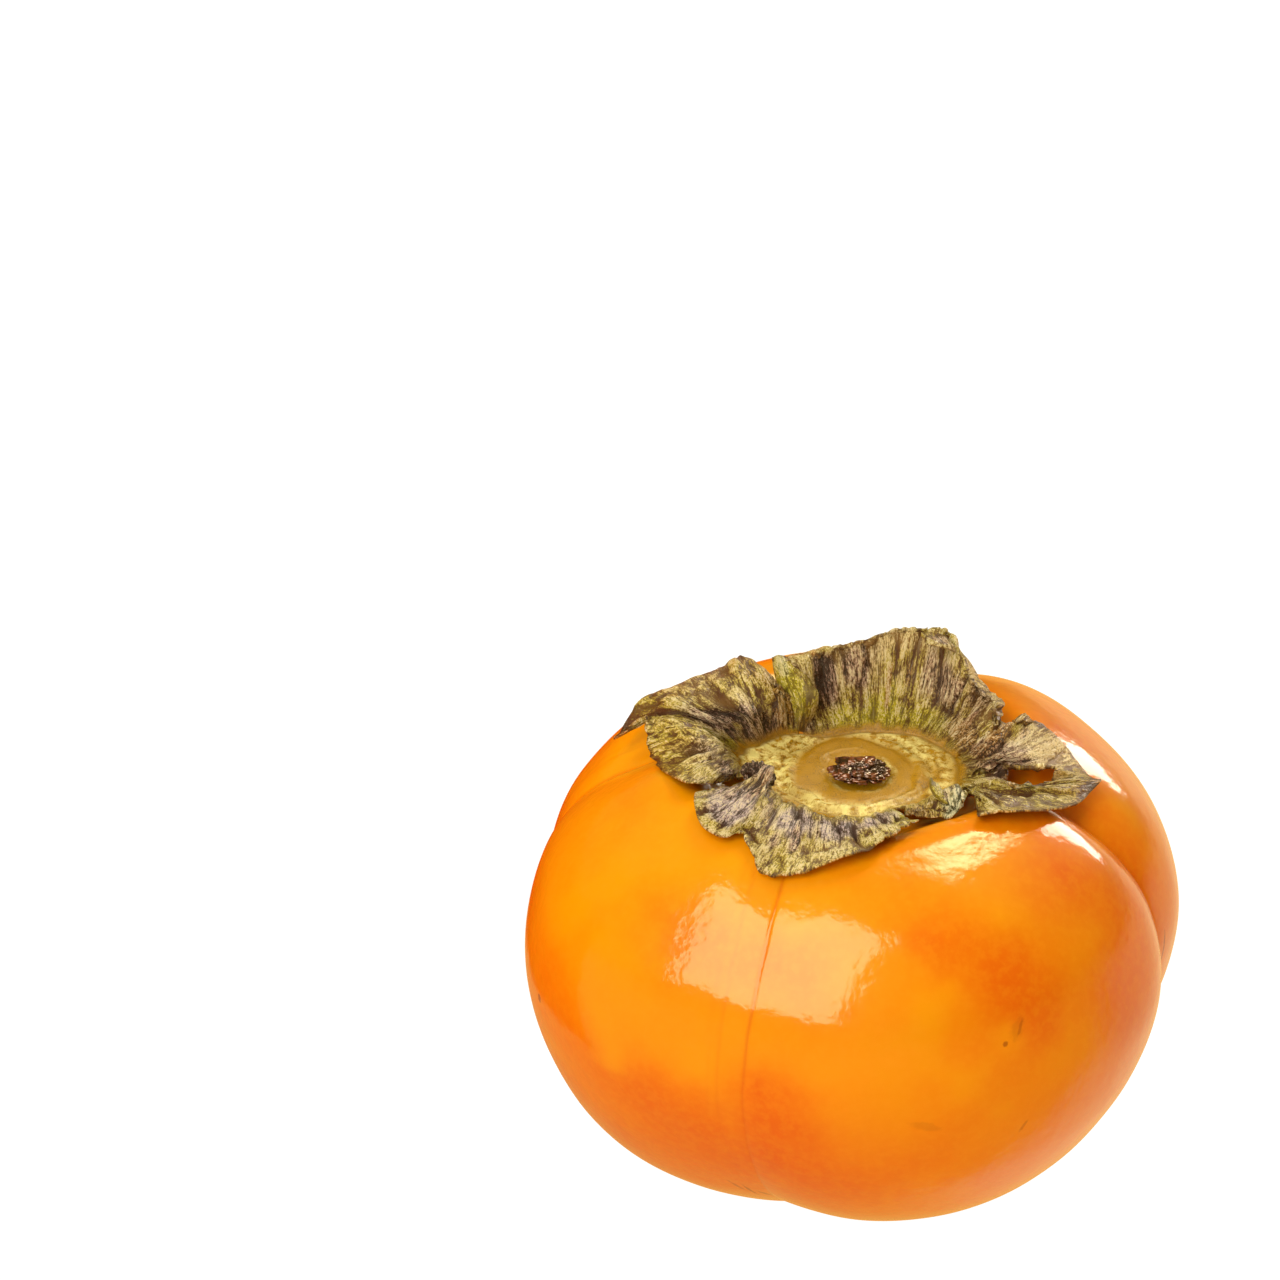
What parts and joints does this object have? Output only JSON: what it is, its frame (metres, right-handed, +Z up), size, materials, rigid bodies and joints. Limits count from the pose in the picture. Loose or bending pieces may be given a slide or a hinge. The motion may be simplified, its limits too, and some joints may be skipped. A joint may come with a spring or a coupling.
{
  "type": "persimmon",
  "caption": "Broad, lobed persimmon with shallow grooves, a dried curling calyx and a stem stub, resting on its blossom end",
  "frame": {"origin": "the middle of the footprint, on the surface that the fruit rests on", "axes": "+Z is up through the calyx, -Y faces the front seam between two lobes, +X is to the right seen from the front"},
  "size_m": [0.0798, 0.0796, 0.0655],
  "materials": {
    "skin": "waxy gloss, ripe orange skin",
    "calyx": "dry, wrinkled, grey green to brown",
    "stem": "dark, crumpled, slightly glossy"
  },
  "bodies": {
    "root": {"fruit": "skin", "calyx": "calyx", "stem_stub": "stem"}
  },
  "joints": []
}
